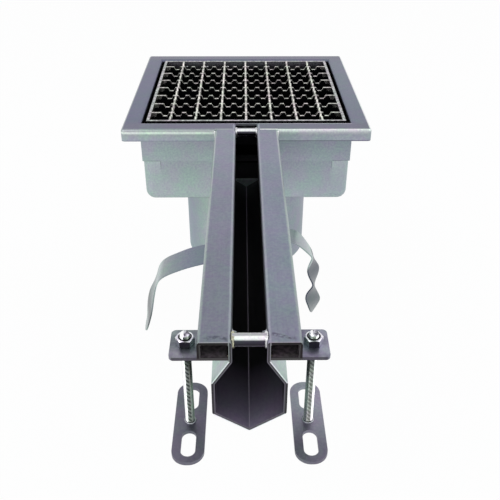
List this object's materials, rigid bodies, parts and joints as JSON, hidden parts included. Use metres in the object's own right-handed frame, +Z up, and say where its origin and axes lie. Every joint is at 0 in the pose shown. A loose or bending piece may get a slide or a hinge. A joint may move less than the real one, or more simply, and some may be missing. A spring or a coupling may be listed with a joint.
{
  "type": "slot drain",
  "caption": "Square floor gully with a serrated mesh grating over a trap pot, and a slotted folded channel with levelling feet and anchor straps that drains into it.",
  "frame": {"origin": "centre of the outlet spigot's lower end", "axes": "+Z up out of the floor, the slot channel runs towards -Y, +X to the right seen from the channel's free end"},
  "size_m": [0.24, 0.567, 0.28],
  "materials": {
    "frame": "brushed",
    "bowl": "matt",
    "seat": "matt",
    "pot": "matt",
    "outlet": "matt",
    "channel": "brushed",
    "spacer": "bright",
    "insert": "matt",
    "grate_rim": "brushed",
    "grate_bar": "bright",
    "bracket": "dull",
    "stud": "bright",
    "nut": "bright",
    "foot": "dull",
    "strap": "bright"
  },
  "bodies": {
    "drain": {"top_frame": "frame", "sump_bowl": "bowl", "grate_seat": "seat", "trap_pot": "pot", "pot_floor": "pot", "trap_upstand": "outlet", "outlet_spigot": "outlet", "slot_channel": "channel", "front_spacer": "spacer", "rear_spacer": "spacer", "left_bracket": "bracket", "right_bracket": "bracket", "left_anchor_strap": "strap", "right_anchor_strap": "strap", "trap_bell": "insert", "bell_spider": "insert", "bell_handle": "insert", "grate_rim_front": "grate_rim", "grate_rim_back": "grate_rim", "grate_rim_left": "grate_rim", "grate_rim_right": "grate_rim", "grate_bearing_bar_1": "grate_bar", "grate_bearing_bar_2": "grate_bar", "grate_bearing_bar_3": "grate_bar", "grate_bearing_bar_4": "grate_bar", "grate_bearing_bar_5": "grate_bar", "grate_bearing_bar_6": "grate_bar", "grate_bearing_bar_7": "grate_bar", "grate_cross_bar_1": "grate_bar", "grate_cross_bar_2": "grate_bar", "grate_cross_bar_3": "grate_bar", "grate_cross_bar_4": "grate_bar", "grate_cross_bar_5": "grate_bar", "grate_cross_bar_6": "grate_bar", "grate_cross_bar_7": "grate_bar"},
    "left_leg": {"left_stud": "stud", "left_foot_plate": "foot"},
    "left_upper_nut": {"left_upper_nut": "nut"},
    "left_lower_nut": {"left_lower_nut": "nut"},
    "right_leg": {"right_stud": "stud", "right_foot_plate": "foot"},
    "right_upper_nut": {"right_upper_nut": "nut"},
    "right_lower_nut": {"right_lower_nut": "nut"}
  },
  "joints": [
    {"name": "left_leg_height", "type": "slide", "parent": "drain", "child": "left_leg", "axis": [0, 0, 1], "range_m": [-0.003, 0.004]},
    {"name": "left_upper_nut_turn", "type": "hinge", "parent": "drain", "child": "left_upper_nut", "pos_m": [-0.0375, -0.4135, 0.2705], "axis": [0, 0, 1], "range_deg": [-1450, 1090]},
    {"name": "left_lower_nut_turn", "type": "hinge", "parent": "drain", "child": "left_lower_nut", "pos_m": [-0.0375, -0.4135, 0.2635], "axis": [0, 0, 1], "range_deg": [-1450, 1090]},
    {"name": "right_leg_height", "type": "slide", "parent": "drain", "child": "right_leg", "axis": [0, 0, 1], "range_m": [-0.003, 0.004]},
    {"name": "right_upper_nut_turn", "type": "hinge", "parent": "drain", "child": "right_upper_nut", "pos_m": [0.0375, -0.4135, 0.2705], "axis": [0, 0, 1], "range_deg": [-1450, 1090]},
    {"name": "right_lower_nut_turn", "type": "hinge", "parent": "drain", "child": "right_lower_nut", "pos_m": [0.0375, -0.4135, 0.2635], "axis": [0, 0, 1], "range_deg": [-1450, 1090]}
  ],
  "couplings": [
    {"joint": "left_upper_nut_turn", "follows": "left_leg_height", "rad_per_m": -6283.2},
    {"joint": "left_lower_nut_turn", "follows": "left_leg_height", "rad_per_m": -6283.2},
    {"joint": "right_upper_nut_turn", "follows": "right_leg_height", "rad_per_m": -6283.2},
    {"joint": "right_lower_nut_turn", "follows": "right_leg_height", "rad_per_m": -6283.2}
  ]
}
